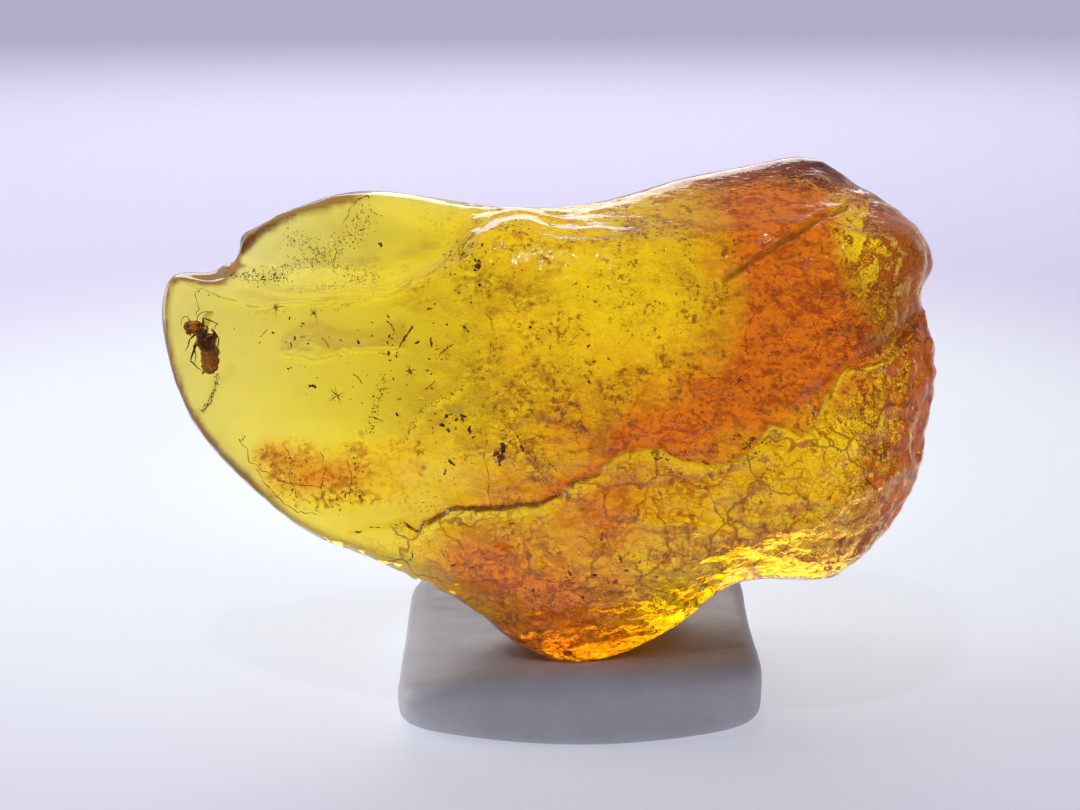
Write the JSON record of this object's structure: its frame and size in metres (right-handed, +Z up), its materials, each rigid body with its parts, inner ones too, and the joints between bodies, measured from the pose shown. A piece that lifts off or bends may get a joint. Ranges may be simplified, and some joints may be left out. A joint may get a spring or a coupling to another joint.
{
  "type": "insect in amber",
  "caption": "Clear golden natural amber nugget with a small sealed insect, leaning on its keel on a white display block.",
  "frame": {"origin": "on the ground, under the middle of the whole object's box", "axes": "+Z up, +X to the right as the thin blade with the insect points left, and the front with the insect faces -Y"},
  "size_m": [0.0297, 0.0135, 0.0208],
  "materials": {
    "amber": "gloss",
    "stand": "satin",
    "insect": "satin",
    "inclusions": "satin"
  },
  "bodies": {
    "root": {"amber": "amber", "stand_block": "stand"}
  },
  "joints": []
}
